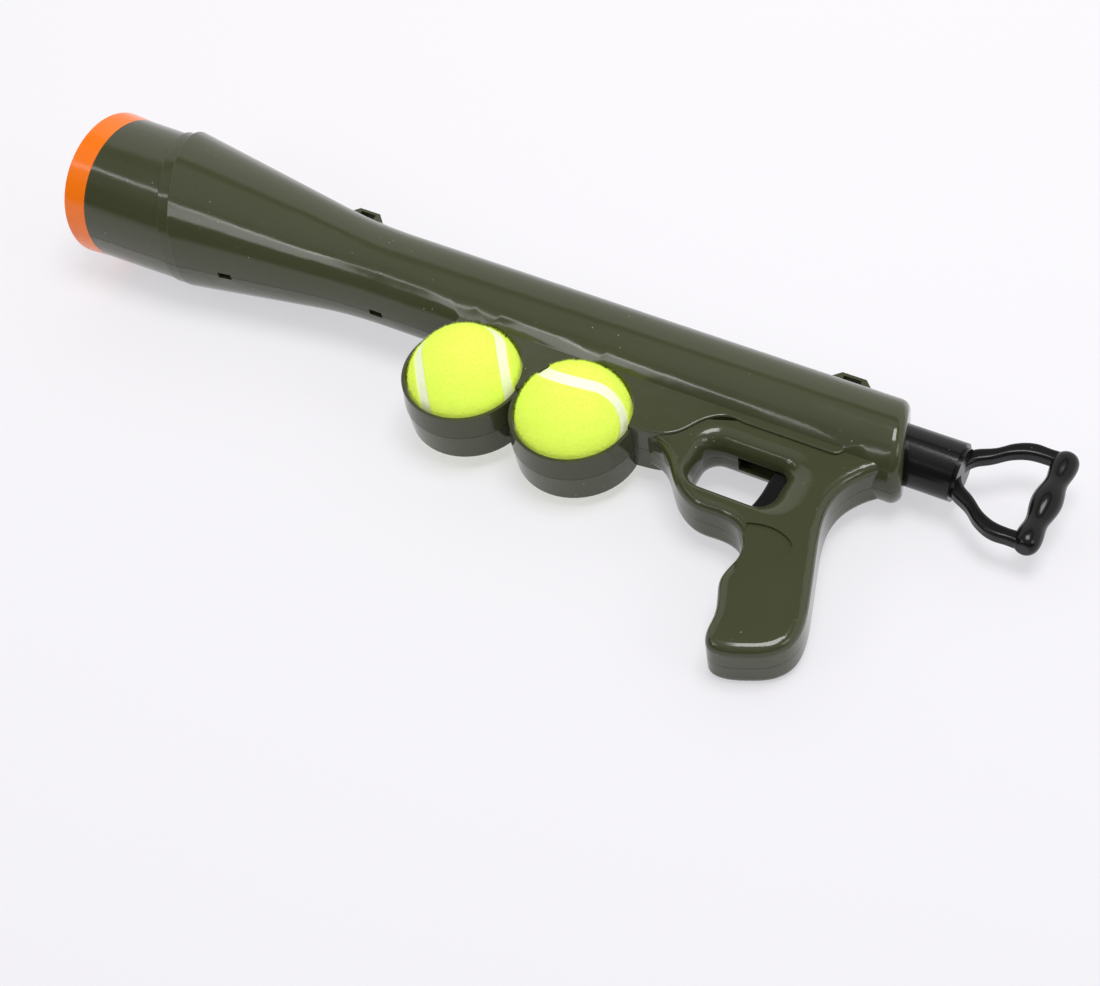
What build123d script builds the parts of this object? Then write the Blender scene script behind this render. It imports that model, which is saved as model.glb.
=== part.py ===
"""Hand-held tennis ball launcher for dogs: a plunger gun with two spare balls in side cups.

Millimetres. X runs along the barrel with the muzzle at -X, +Y is the launcher's top, and +Z is its
left side, which faces up as the launcher lies on its right side. While it is modelled, the origin is
on the barrel's axis at the middle of the rear face. At the end every piece is moved together, so
that the origin is at the middle of the bottom of the whole part.
"""
from build123d import *
from math import radians, sqrt, tan
import os

# Balls and the cups that hold them
ball_radius = 31.75
felt_thickness = 3.0
core_wall = 3.3
cup_clearance = 0.3
cup_wall = 2.75
cup_draft = 1.0
cup_partition = 2.6
cup_to_tube_gap = 2.1
left_cup_height = 13.8
right_cup_height = 16.7
rear_cup_x = -162.1
ball_lift = 4.8

# Barrel, bell and muzzle
barrel_length = 331.0
bell_length = 120.2
muzzle_length = 50.0
neck_radius = 26.9
rear_radius = 25.8
bell_radius = 44.1
bell_blend = 350.0
muzzle_rear_radius = 41.7
muzzle_front_radius = 42.4
front_slant = 18.9
rear_slant = 17.5
band_length = 7.7
band_radius = 42.6
band_lap = 0.4
step_round = 0.5
rear_round = 5.5
shell_wall = 2.6
parting_gap = 0.24

# Muzzle ring, ball tube and ball seat
ring_length = 14.8
ring_front_radius = 43.4
ring_wall = 2.6
ring_spigot_length = 10.0
ring_round = 1.1
tube_ball_clearance = 1.25
ball_tube_wall = 1.8
ball_tube_length = 98.0
seat_length = 7.0
seat_lip = 5.5
seat_rib_length = 10.0

# Pull tube, plunger head and their fits
stroke = 120.0
pull_tube_radius = 15.4
pull_tube_wall = 2.2
sleeve_reach = 28.5
slide_clearance = 0.1
part_clearance = 0.3
seat_clearance = 0.05
head_thickness = 12.0
head_bore_clearance = 0.6
head_plug_length = 20.0
bumper_thickness = 5.0
bumper_radius = 19.0
bumper_stem_radius = 5.0
bumper_stem_length = 6.0
ball_strike_gap = 2.0
fastening_pin_radius = 2.0

# Rear bushing and end wall
bushing_length = 14.0
bushing_wall = 3.4
end_wall_depth = 24.0
bushing_rear_inset = 8.0

# Elastic loops, their posts and the cross pin
cross_pin_radius = 2.5
elastic_radius = 1.9
elastic_offset = 19.0
elastic_to_pin_end = 0.9
post_sink = 1.4
post_to_head_gap = 2.5
stop_gap = 1.0

# Web panel, trigger guard and grip
panel_height = 16.0
guard_height = 14.5
guard_front_x = -125.0
guard_span = 126.0
grip_drop = 151.0
grip_round = 5.0
panel_round = 1.0
panel_corner = 5.0
panel_lead = 22.0
opening_waist = 3.0
funnel_floor = 6.5
thumb_rest_depth = 1.2

# Strap loops on the barrel's top
front_loop_x = -349.6
rear_loop_x = -43.0
loop_top_width = 13.5
loop_mid_width = 21.5
loop_height = 8.0
loop_shoulder = 4.0
loop_thickness = 8.0
loop_hole_width = 10.0
loop_hole_height = 4.6
loop_bar = 1.8

# Trigger, sear and return spring
trigger_pin_x = -52.0
trigger_pin_y = -25.0
trigger_pin_radius = 2.0
trigger_hub_radius = 5.0
trigger_width = 7.8
trigger_length = 41.0
trigger_round = 1.2
sear_arm = 19.0
sear_arm_depth = 6.0
sear_thickness = 6.0
sear_plate_width = 6.0
sear_tongue = 3.0
slot_front = 22.0
slot_rear = 8.0
slot_back = 12.5
slot_tip = 5.5
slot_width = 10.0
pin_boss_radius = 4.0
pin_boss_gap = 0.7
trigger_pin_reach = 10.5
catch_window = 12.0
catch_length = 6.0
catch_width = 9.0
spring_length = 12.0
spring_radius = 2.6
spring_wire = 0.7
spring_turns = 7
spring_drop = 3.6
spring_play = 0.5
spring_lug = 6.0
spring_rib = 2.5

# Screws and guide ribs
boss_radius = 4.2
screw_radius = 1.4
screw_head_radius = 3.0
screw_head_height = 2.2
screw_reach = 8.5
screw_seat = 6.0
screw_clearance = 0.4
boss_foot = 0.6
guide_rib = 3.0
guide_window = 16.0
snap_window_length = 8.5
snap_window_width = 4.0

# Pull handle
handle_length = 52.5
handle_half_width = 32.2
handle_arm_thickness = 7.4
handle_plug_length = 44.0
handle_pin_inset = 8.0
handle_grip_radius = 7.7
handle_round = 2.0
handle_plug_lip = 2.0

# Cuts run this far past what they cut
overrun = 5.0

# Outlines, as shares of the guard's span along X and of the grip's drop along -Y
grip_shares = [
    (-0.03, 0.290), (0.016, 0.328), (0.095, 0.344), (0.167, 0.387), (0.230, 0.450), (0.302, 0.502),
    (0.381, 0.527), (0.492, 0.527), (0.563, 0.543), (0.611, 0.583), (0.635, 0.639), (0.624, 0.702),
    (0.619, 0.748), (0.643, 0.808), (0.671, 0.881), (0.679, 0.947), (0.711, 0.992), (0.778, 0.997),
    (0.857, 0.974), (0.937, 0.937), (0.988, 0.881), (0.996, 0.801), (0.964, 0.695), (0.909, 0.556),
    (0.863, 0.430), (0.849, 0.344), (0.865, 0.265), (0.909, 0.199), (0.968, 0.146),
]
panel_curve_shares = [
    (-0.070, 0.346), (0.008, 0.338), (0.087, 0.326), (0.159, 0.291), (0.218, 0.218), (0.278, 0.174), (0.373, 0.167),
]
panel_end_share = 0.802
waist_corner_shares = [(0.275, 0.262), (0.631, 0.262), (0.631, 0.440), (0.275, 0.440)]
waist_radius_shares = [0.065, 0.040, 0.095, 0.065]
rim_corner_shares = [(0.226, 0.199), (0.758, 0.199), (0.758, 0.475), (0.226, 0.475)]
rim_radius_shares = [0.103, 0.119, 0.127, 0.127]
funnel_rise_shares = [0.0, 0.45, 0.75, 0.92, 1.0]
thumb_rest_shares = [
    (0.603, 0.530), (0.690, 0.513), (0.770, 0.526), (0.812, 0.556), (0.800, 0.603), (0.740, 0.672),
    (0.655, 0.708),
]
guard_screw_shares = [(0.080, 0.252), (0.807, 0.285), (0.794, 0.610), (0.833, 0.874)]
barrel_screw_shares = [0.17, 0.57]
snap_window_shares = [0.606, -0.214]
band_taper_share = 0.35
screw_slot_share = 1.2

# Trigger blade, as shares of its length behind and below the pin: front edge, then rear edge
trigger_front_shares = [
    (-0.06, 0.08), (-0.05, 0.30), (-0.05, 0.46), (-0.05, 0.69), (-0.066, 0.85), (-0.095, 0.98),
]
trigger_rear_shares = [(0.10, 1.00), (0.15, 0.90), (0.19, 0.72), (0.17, 0.50), (0.13, 0.30), (0.12, 0.08)]

# Pull handle, as shares of its length behind the tube and of its half width
handle_outer_shares = [
    (0.006, 0.42), (0.08, 0.51), (0.16, 0.575), (0.235, 0.655), (0.31, 0.77), (0.39, 0.86), (0.47, 0.92),
    (0.565, 0.95), (0.665, 0.942), (0.76, 0.945), (0.87, 0.955),
]
handle_inner_shares = [
    (0.035, 0.00), (0.055, 0.14), (0.12, 0.275), (0.20, 0.36), (0.27, 0.45), (0.35, 0.565), (0.43, 0.645),
    (0.52, 0.70), (0.62, 0.72), (0.74, 0.715), (0.87, 0.66),
]
handle_neck_share = 0.28

# Cross grip of the handle, as shares of its half width and of its radius
grip_wave_shares = [
    (-0.97, 0.50), (-0.90, 0.76), (-0.76, 0.88), (-0.60, 0.83), (-0.42, 0.74), (-0.22, 0.88), (0.00, 1.00),
    (0.22, 0.88), (0.42, 0.74), (0.60, 0.83), (0.76, 0.88), (0.90, 0.76), (0.97, 0.50),
]

# Places worked out from the sizes
neck_x = -barrel_length
bell_front_x = neck_x - bell_length
ring_rear_x = bell_front_x - muzzle_length
ring_front_x = ring_rear_x - ring_length
bell_slope = (bell_radius - neck_radius) / bell_length
cup_bore = ball_radius + cup_clearance
cup_radius = cup_bore + cup_wall
cup_y = -(pull_tube_radius + cup_to_tube_gap + cup_radius)
front_cup_x = rear_cup_x - 2 * cup_bore - cup_partition
cup_xs = {"rear": rear_cup_x, "front": front_cup_x}
bore_radius = rear_radius - shell_wall
cavity_rear_x = -end_wall_depth
ball_tube_bore = ball_radius + tube_ball_clearance
ball_tube_radius = ball_tube_bore + ball_tube_wall
ball_tube_front_x = ring_front_x + ring_wall
seat_front_x = ball_tube_front_x + ball_tube_length
seat_bore = ball_tube_bore - seat_lip
loaded_ball_x = seat_front_x - sqrt(ball_radius**2 - seat_bore**2)
bumper_front_x = loaded_ball_x + ball_radius + ball_strike_gap
head_front_x = bumper_front_x + bumper_thickness
head_rear_x = head_front_x + head_thickness
head_radius = bore_radius - head_bore_clearance
pull_tube_bore = pull_tube_radius - pull_tube_wall
post_radius = cross_pin_radius
elastic_turn = post_radius + seat_clearance + elastic_radius
elastic_overhang = elastic_turn + elastic_radius
post_x = head_rear_x + stroke + post_to_head_gap + elastic_overhang
cross_pin_x = cavity_rear_x - stroke - stop_gap - elastic_overhang
pin_half_length = elastic_offset + elastic_radius + elastic_to_pin_end
bushing_radius = pull_tube_radius + slide_clearance + bushing_wall
bushing_rear_x = -bushing_rear_inset
bushing_front_x = bushing_rear_x - bushing_length
sear_nose_x = trigger_pin_x - sear_arm
catch_face_x = sear_nose_x + sear_thickness + part_clearance - stroke
sear_top_y = -(pull_tube_radius + part_clearance)
handle_plug_front_x = sleeve_reach - handle_plug_length
handle_grip_x = sleeve_reach + handle_length - handle_grip_radius
guide_rib_x = (guard_front_x + sear_nose_x) / 2
bell_mid_x = (neck_x + bell_front_x) / 2
muzzle_taper = (muzzle_front_radius - muzzle_rear_radius) / muzzle_length
web_inside = guard_height - shell_wall
spring_front_x = trigger_pin_x + spring_lug + spring_play
spring_rear_x = spring_front_x + spring_length
spring_y = trigger_pin_y - spring_drop
plug_radius = pull_tube_bore - seat_clearance


def guard_point(share):
    """A point of the guard and grip, from its shares of the guard's span and the grip's drop."""
    return (guard_front_x + share[0] * guard_span, -share[1] * grip_drop)


def bell_radius_at(x):
    """The bell's outside radius at x, on its straight flank."""
    return neck_radius + bell_slope * (neck_x - x)


def cylinder_x(radius, start, end):
    """A solid cylinder along X from start to end."""
    return Pos((start + end) / 2, 0, 0) * Rot(0, 90, 0) * Cylinder(radius, end - start)


def cylinder_z(x, y, radius, low, high):
    """A solid cylinder along Z at (x, y) from low to high."""
    return Pos(x, y, (low + high) / 2) * Cylinder(radius, high - low)


def ring_x(outer, inner, start, end):
    """A plain ring along X."""
    return cylinder_x(outer, start, end) - cylinder_x(inner, start - overrun, end + overrun)


def block(x_range, y_range, z_range):
    """A box between two corners, given as ranges."""
    sizes = [high - low for low, high in (x_range, y_range, z_range)]
    centre = [(high + low) / 2 for low, high in (x_range, y_range, z_range)]
    return Pos(*centre) * Box(*sizes)


def half_turn(points):
    """The upper half (z above zero) of the solid that an outline of (x, radius) points sweeps."""
    return revolve(make_face(Polyline(*points, close=True)), axis=Axis.X, revolution_arc=180)


def full_turn(points):
    """The solid that an outline of (x, radius) points sweeps about the barrel's axis."""
    return revolve(make_face(Polyline(*points, close=True)), axis=Axis.X, revolution_arc=360)


def band_radius_at(x):
    """The outside radius at x of the band between the muzzle section and the bell."""
    return band_radius + band_taper_share * bell_slope * (bell_front_x - x)


def slanted_slab(x, toward, slant):
    """A large block that fills everything past a slanted plane through the axis at x."""
    reach = 2 * (bell_radius + bell_length)
    return Pos(x, 0, 0) * Rot(0, 0, slant) * Pos(toward * reach / 2, 0, 0) * Box(reach, reach, reach)


def round_rim(solid, which, radius):
    """Rounds the curved rim at the front (0) or the rear (-1) of a half-turned solid."""
    return fillet(solid.edges().filter_by(GeomType.LINE, reverse=True).sort_by(Axis.X)[which], radius)


def barrel_half():
    """Upper half of the solid barrel and bell, cut on the slant at both ends."""
    reach = bell_radius * tan(radians(front_slant)) + overrun
    front = bell_front_x - reach
    flank = FilletPolyline(
        (front, bell_radius_at(front)), (neck_x, neck_radius), (reach, rear_radius), radius=bell_blend
    )
    base = Polyline(flank @ 1, (reach, 0), (front, 0), flank @ 0)
    solid = revolve(make_face(flank.edges() + base.edges()), axis=Axis.X, revolution_arc=180)
    solid = solid - slanted_slab(bell_front_x, -1, front_slant) - slanted_slab(0, 1, rear_slant)
    return round_rim(round_rim(solid, 0, step_round), -1, rear_round)


def muzzle_half():
    """Upper half of the solid muzzle section, and of the band that steps up from it to the bell."""
    reach = bell_radius * tan(radians(front_slant)) + overrun
    front, back = bell_front_x - band_length - reach, bell_front_x + reach
    past_bell = slanted_slab(bell_front_x + band_lap, 1, front_slant)
    muzzle = half_turn([
        (ring_rear_x, 0), (ring_rear_x, muzzle_front_radius), (bell_front_x, muzzle_rear_radius),
        (back, muzzle_rear_radius), (back, 0),
    ])
    band = half_turn([(front, 0), (front, band_radius_at(front)), (back, band_radius_at(back)), (back, 0)])
    band = band - slanted_slab(bell_front_x - band_length, -1, front_slant) - past_bell
    return round_rim(band, 0, step_round) + (muzzle - past_bell)


def inward(curve, share):
    """Unit vector that points to the left of a flat curve at a share of its length."""
    along = curve.tangent_at(share)
    return Vector(-along.Y, along.X)


def grip_face():
    """Outline of the trigger guard and the grip, closed inside the barrel and the panel."""
    curve = Spline(*[guard_point(share) for share in grip_shares])
    last = curve @ 1 + inward(curve, 1) * rear_radius
    first = curve @ 0 + inward(curve, 0) * rear_radius
    return make_face(curve.edges() + Polyline(curve @ 1, last, first, curve @ 0).edges())


def panel_rear_face():
    """Outline of the raised side panel from the middle of the rear cup to its rounded rear end."""
    curve = Spline(*[guard_point(share) for share in panel_curve_shares])
    end_x = guard_front_x + panel_end_share * guard_span
    closing = FilletPolyline(
        curve @ 1, (end_x, (curve @ 1).Y), (end_x, 0), ((curve @ 0).X, 0), curve @ 0,
        radius=[panel_corner, 0, 0],
    )
    return make_face(curve.edges() + closing.edges())


def panel_front_face():
    """Outline of the raised side panel from in front of the front cup to the middle of the rear one."""
    rear_x = guard_point(panel_curve_shares[0])[0]
    front_x = front_cup_x - panel_lead
    return make_face(Polyline((front_x, 0), (front_x, cup_y), (rear_x, cup_y), (rear_x, 0), close=True))


def opening_outline(flare):
    """Outline of the finger opening in the trigger guard, from its waist (0) to its rim (1)."""
    def between(waist, rim):
        return waist + flare * (rim - waist)

    corners = [
        guard_point((between(waist[0], rim[0]), between(waist[1], rim[1])))
        for waist, rim in zip(waist_corner_shares, rim_corner_shares)
    ]
    radii = [between(waist, rim) * guard_span for waist, rim in zip(waist_radius_shares, rim_radius_shares)]
    return FilletPolyline(*corners, radius=radii, close=True)


def opening_cutter():
    """What the finger opening takes from the upper half: straight at the waist, then rounded out to the rim."""
    rise = guard_height - opening_waist
    sections = [
        Pos(0, 0, opening_waist + share * rise) * make_face(opening_outline(1 - sqrt(1 - share**2)))
        for share in funnel_rise_shares
    ]
    waist = Pos(0, 0, -overrun) * extrude(make_face(opening_outline(0)), opening_waist + overrun)
    rim = Pos(0, 0, guard_height) * extrude(make_face(opening_outline(1)), overrun)
    return waist + loft(sections) + rim


def guard_half():
    """Upper half of the solid guard and grip, with rounded edges, the finger opening and the thumb rest."""
    solid = extrude(grip_face(), guard_height)
    rim = solid.edges().group_by(Axis.Z)[-1].sort_by(SortBy.LENGTH)[-1]
    solid = fillet(rim, grip_round)
    rest = Spline(*[guard_point(share) for share in thumb_rest_shares])
    rest_face = make_face(rest.edges() + Line(rest @ 1, rest @ 0).edges())
    solid = solid - Pos(0, 0, guard_height - thumb_rest_depth) * extrude(rest_face, overrun)
    return solid - opening_cutter()


def panel_half():
    """Upper half of the solid raised panel, with rounded edges where it shows."""
    rear = extrude(panel_rear_face(), panel_height)
    rim = rear.edges().group_by(Axis.Z)[-1]
    rear = fillet(rim.sort_by(Axis.Y)[:-1].sort_by(Axis.X)[1:], panel_round)
    front = extrude(panel_front_face(), panel_height)
    front = fillet(front.edges().group_by(Axis.Z)[-1].sort_by(Axis.X)[0], panel_round)
    return rear + front


def strap_loop(x, base_radius):
    """Half of a strap loop that stands on the barrel's top at x, with its slot along Z."""
    base = base_radius - shell_wall
    top = base_radius + loop_height
    shoulder = top - loop_shoulder
    outline = [
        (x - loop_mid_width / 2, base), (x - loop_mid_width / 2, shoulder), (x - loop_top_width / 2, top),
        (x + loop_top_width / 2, top), (x + loop_mid_width / 2, shoulder), (x + loop_mid_width / 2, base),
    ]
    solid = extrude(make_face(Polyline(*outline, close=True)), loop_thickness / 2)
    hole_top = top - loop_bar
    slot = block(
        (x - loop_hole_width / 2, x + loop_hole_width / 2), (hole_top - loop_hole_height, hole_top),
        (-overrun, loop_thickness),
    )
    return solid - slot


def barrel_cavity():
    """Space inside the barrel, bell and muzzle, as the upper half of a turned solid."""
    bell_back = neck_x - bell_blend * bell_slope / 2
    points = [
        (ring_rear_x - overrun, 0), (ring_rear_x - overrun, muzzle_front_radius - shell_wall),
        (ring_rear_x, muzzle_front_radius - shell_wall), (bell_front_x, muzzle_rear_radius - shell_wall),
        (bell_mid_x, bell_radius_at(bell_mid_x) - shell_wall),
        (bell_back, bell_radius_at(bell_back) - shell_wall), (neck_x - bell_back + neck_x, bore_radius),
        (cavity_rear_x, bore_radius), (cavity_rear_x, 0),
    ]
    return half_turn(points)


def web_cavity():
    """Space inside the web, guard and grip, clear of the finger opening's wall."""
    outside = Spline(*[guard_point(share) for share in grip_shares])
    steps = 2 * len(grip_shares)
    inside = Spline(
        *[outside.position_at(step / steps) + inward(outside, step / steps) * shell_wall for step in range(steps + 1)]
    )
    last = outside @ 1 + inward(outside, 1) * rear_radius
    first = outside @ 0 + inward(outside, 0) * rear_radius
    grip = make_face(inside.edges() + Polyline(inside @ 1, last, first, inside @ 0).edges())
    front_x = front_cup_x - panel_lead + shell_wall
    corners = [
        (front_x, 0), (front_x, cup_y), (rear_cup_x, cup_y), inside @ 0, inside @ (1 / steps), last, (last.X, 0),
    ]
    web = make_face(Polyline(*corners, close=True))
    space = extrude(grip, web_inside) + extrude(web, web_inside)
    space = space + mirror(space, about=Plane.XY)
    waist_wall = extrude(offset(make_face(opening_outline(0)), shell_wall), guard_height, both=True)
    return space - waist_wall - Pos(0, 0, funnel_floor) * extrude(make_face(opening_outline(1)), guard_height)


def cup_cones(height):
    """Both solid cups on one half, with a little draft towards the rim."""
    cups = [
        Pos(x, cup_y, height / 2) * Cone(cup_radius, cup_radius - cup_draft, height) for x in cup_xs.values()
    ]
    return cups[0] + cups[1]


def screw_places():
    """(x, y) of each screw: four in the web and grip, one between the cups, two along the barrel."""
    places = [guard_point(share) for share in guard_screw_shares]
    between_x = (front_cup_x + rear_cup_x) / 2
    reach = cup_radius + boss_radius + part_clearance
    places.append((between_x, cup_y + sqrt(reach**2 - (rear_cup_x - between_x) ** 2)))
    top_y = pull_tube_radius + part_clearance + boss_radius
    return places + [(-share * barrel_length, top_y) for share in barrel_screw_shares]


def inner_supports():
    """What stays solid inside a shell half: cup walls, bosses, guide rib, seat rib, spring rib, end posts."""
    tall = 2 * bell_radius
    supports = [cylinder_z(x, cup_y, cup_radius, -overrun, tall) for x in cup_xs.values()]
    supports += [cylinder_z(x, y, boss_radius, -overrun, tall) for x, y in screw_places()]
    boss_start = trigger_width / 2 + pin_boss_gap
    supports.append(cylinder_z(trigger_pin_x, trigger_pin_y, pin_boss_radius, boss_start, tall))
    guide = ring_x(rear_radius, pull_tube_radius + part_clearance, guide_rib_x, guide_rib_x + guide_rib)
    window = block(
        (guide_rib_x - overrun, guide_rib_x + guide_rib + overrun), (-guide_window / 2, guide_window / 2),
        (pull_tube_radius / 2, tall),
    )
    supports.append(guide - window)
    rib_front = seat_front_x + seat_length - seat_rib_length
    rib_rear = seat_front_x + seat_length
    seat_rib = ring_x(bell_radius, ball_tube_radius + seat_clearance, rib_front, rib_rear)
    supports.append(seat_rib + ring_x(bell_radius, ball_tube_bore, rib_rear, rib_rear + shell_wall))
    supports.append(
        block((spring_rear_x, spring_rear_x + spring_rib), (spring_y - overrun, spring_y + overrun), (-overrun, tall))
    )
    return supports


def shell_half(cup_height):
    """Upper shell half: the outside forms, hollowed to a wall, with bosses, ribs, slots and loops."""
    body = barrel_half() + muzzle_half() + guard_half() + panel_half()
    body = body + strap_loop(front_loop_x, bell_radius_at(front_loop_x))
    body = body + strap_loop(rear_loop_x, rear_radius) + cup_cones(cup_height)
    tall = 2 * bell_radius
    cavity = barrel_cavity() + web_cavity()
    for support in inner_supports():
        cavity = cavity - support
    shell = body - cavity
    for x in cup_xs.values():
        shell = shell - cylinder_z(x, cup_y, cup_bore, -overrun, tall)
    shell = shell - cylinder_x(bushing_radius + seat_clearance, bushing_front_x - overrun, bushing_rear_x)
    shell = shell - cylinder_x(pull_tube_radius + part_clearance, bushing_rear_x - overrun, sleeve_reach)
    pocket = ball_tube_radius + seat_clearance
    shell = shell - cylinder_x(pocket, seat_front_x - seat_rib_length, seat_front_x + seat_length)
    slot_y = guard_point(waist_corner_shares[0])[1]
    slot_low_y = guard_point(waist_corner_shares[2])[1] - part_clearance
    shell = shell - block(
        (trigger_pin_x - slot_front, trigger_pin_x + slot_rear), (slot_y - overrun, trigger_pin_y),
        (-overrun, slot_width / 2),
    )
    shell = shell - block(
        (trigger_pin_x - slot_tip, trigger_pin_x + slot_back), (slot_low_y, slot_y), (-overrun, slot_width / 2)
    )
    shell = shell - cylinder_z(
        trigger_pin_x, trigger_pin_y, trigger_pin_radius + seat_clearance, -overrun, trigger_pin_reach
    )
    shell = shell - cylinder_z(post_x, 0, post_radius + seat_clearance, 0, bore_radius + post_sink)
    for share in snap_window_shares:
        x = neck_x - share * bell_length
        y = -max(bell_radius_at(x), neck_radius)
        shell = shell - block(
            (x - snap_window_length / 2, x + snap_window_length / 2), (y - overrun, y + shell_wall * 2),
            (-overrun, snap_window_width / 2),
        )
    shell = shell - block((ring_front_x, sleeve_reach), (-tall * 2, tall), (-tall, parting_gap / 2))
    for x, y in screw_places():
        shell = shell + cylinder_z(x, y, boss_radius, 0, boss_foot)
    return shell


def left_shell():
    """Left half, which takes the screws' threads."""
    shell = shell_half(left_cup_height)
    for x, y in screw_places():
        shell = shell - cylinder_z(x, y, screw_radius + seat_clearance, -overrun, screw_reach)
    return shell


def right_shell():
    """Right half, with the screws' clearance holes and head pockets."""
    shell = shell_half(right_cup_height)
    for x, y in screw_places():
        shell = shell - cylinder_z(x, y, screw_radius + screw_clearance, -overrun, screw_seat + overrun)
        shell = shell - cylinder_z(x, y, screw_head_radius + screw_clearance, screw_seat, 2 * bell_radius)
    return mirror(shell, about=Plane.XY)


def shell_screws():
    """All the shell screws, driven from the right side."""
    screws = []
    for x, y in screw_places():
        shank = cylinder_z(x, y, screw_radius, -screw_seat - screw_head_height / 2, screw_reach - part_clearance)
        top = -screw_seat - screw_head_height
        head = cylinder_z(x, y, screw_head_radius, top, -screw_seat)
        slot = Box(screw_head_radius * screw_slot_share, screw_radius / 2, screw_head_height)
        slots = [Pos(x, y, top) * Rot(0, 0, turn) * slot for turn in (0, 90)]
        screws.append(shank + head - slots[0] - slots[1])
    return Compound(screws)


def muzzle_ring():
    """Muzzle ring with its front plate and the spigot that goes inside the shells."""
    spigot = muzzle_front_radius - shell_wall - seat_clearance
    end_x = ring_rear_x + ring_spigot_length
    end_radius = spigot - muzzle_taper * ring_spigot_length
    points = [
        (ring_front_x, ball_tube_bore), (ring_front_x, ring_front_radius), (ring_rear_x, muzzle_front_radius),
        (ring_rear_x, spigot), (end_x, end_radius), (end_x, end_radius - ring_wall),
        (ring_front_x + ring_wall, end_radius - ring_wall), (ring_front_x + ring_wall, ball_tube_bore),
    ]
    ring = full_turn(points)
    return fillet(ring.edges().group_by(Axis.X)[0], ring_round)


def ball_seat():
    """Rubber ring behind the ball tube, dished to stop the ball."""
    rear = seat_front_x + seat_length
    points = [
        (seat_front_x, ball_tube_radius), (rear, ball_tube_radius), (rear, seat_bore - seat_clearance),
        (seat_front_x + seat_length / 2, seat_bore - seat_clearance), (seat_front_x, ball_tube_bore),
    ]
    return full_turn(points)


def pull_tube():
    """Pull tube with the sear window and the holes for its pins."""
    tube = ring_x(pull_tube_radius, pull_tube_bore, head_rear_x, sleeve_reach)
    half = catch_width / 2
    window = block(
        (catch_face_x - catch_window, catch_face_x + catch_length),
        (-pull_tube_radius - overrun, -pull_tube_bore / 2), (-half, half),
    )
    tube = tube - window
    for x, radius in (
        (cross_pin_x, cross_pin_radius), (head_pin_x(), fastening_pin_radius), (handle_pin_x(), fastening_pin_radius)
    ):
        tube = tube - cylinder_z(x, 0, radius + seat_clearance, -2 * pull_tube_radius, 2 * pull_tube_radius)
    return tube


def head_pin_x():
    """Where the pin through the head's plug sits."""
    return head_rear_x + head_plug_length / 2


def handle_pin_x():
    """Where the pin through the handle's plug sits."""
    return handle_plug_front_x + handle_pin_inset


def fastening_pin(x):
    """A pin along Z that ends just inside the pull tube's surface."""
    reach = sqrt(pull_tube_radius**2 - fastening_pin_radius**2) - seat_clearance
    return cylinder_z(x, 0, fastening_pin_radius, -reach, reach)


def catch_block():
    """Steel block in the rear of the tube's window, with the face that the sear holds."""
    half = catch_width / 2 - seat_clearance
    shape = block(
        (catch_face_x, catch_face_x + catch_length), (-pull_tube_radius, -pull_tube_bore + catch_length / 2),
        (-half, half),
    )
    return shape & cylinder_x(pull_tube_radius, catch_face_x - overrun, catch_face_x + catch_length + overrun)


def plunger_head():
    """Head that pushes the ball, with the plug that goes into the tube."""
    head = cylinder_x(head_radius, head_front_x, head_rear_x)
    head = fillet(head.edges(), panel_round)
    head = head + cylinder_x(plug_radius, head_rear_x - overrun, head_rear_x + head_plug_length)
    head = head - cylinder_x(
        bumper_stem_radius + seat_clearance, head_front_x - overrun, head_front_x + bumper_stem_length
    )
    pin = fastening_pin_radius + seat_clearance
    return head - cylinder_z(head_pin_x(), 0, pin, -2 * plug_radius, 2 * plug_radius)


def head_bumper():
    """Rubber face of the head, with the stem that holds it in the head."""
    face = cylinder_x(bumper_radius, bumper_front_x, head_front_x)
    face = fillet(face.edges().sort_by(Axis.X)[0], 2 * panel_round)
    return face + cylinder_x(bumper_stem_radius, head_front_x - panel_round, head_front_x + bumper_stem_length)


def pull_handle():
    """D-shaped handle: two arms and a wavy cross grip, with the plug that goes into the tube."""
    def place(share):
        return (sleeve_reach + share[0] * handle_length, share[1] * handle_half_width)

    def flip(point):
        return (point[0], -point[1])

    outer = [place(share) for share in handle_outer_shares]
    inner = [place(share) for share in handle_inner_shares]
    top = Spline(*outer)
    bottom = Spline(*[flip(point) for point in outer])
    neck = handle_neck_share * handle_half_width
    start_x, root_x = outer[0][0], sleeve_reach - handle_arm_thickness
    root = Polyline(top @ 0, (start_x, neck), (root_x, neck), (root_x, -neck), (start_x, -neck), bottom @ 0)
    rim = top.edges() + bottom.edges() + Line(top @ 1, bottom @ 1).edges() + root.edges()
    arms = extrude(make_face(rim), handle_arm_thickness / 2, both=True)
    window = Spline(*[flip(point) for point in inner[:0:-1]], *inner)
    edges = window.edges() + Line(window @ 1, window @ 0).edges()
    arms = arms - extrude(make_face(edges), handle_arm_thickness, both=True)
    long_edges = arms.edges().filter_by(GeomType.BSPLINE)
    arms = fillet(long_edges, handle_round)
    wave = [
        (handle_grip_x + share[1] * handle_grip_radius, share[0] * handle_half_width) for share in grip_wave_shares
    ]
    curve = Spline(*wave)
    ends = Polyline(curve @ 1, (handle_grip_x, (curve @ 1).Y), (handle_grip_x, (curve @ 0).Y), curve @ 0)
    profile = make_face(curve.edges() + ends.edges())
    grip = revolve(profile, axis=Axis((handle_grip_x, 0, 0), (0, 1, 0)), revolution_arc=360)
    grip = fillet(grip.edges().filter_by(GeomType.CIRCLE), handle_round)
    plug = cylinder_x(plug_radius, handle_plug_front_x, sleeve_reach + handle_plug_lip)
    handle = arms + grip + plug
    pin = fastening_pin_radius + seat_clearance
    return handle - cylinder_z(handle_pin_x(), 0, pin, -2 * plug_radius, 2 * plug_radius)


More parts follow.
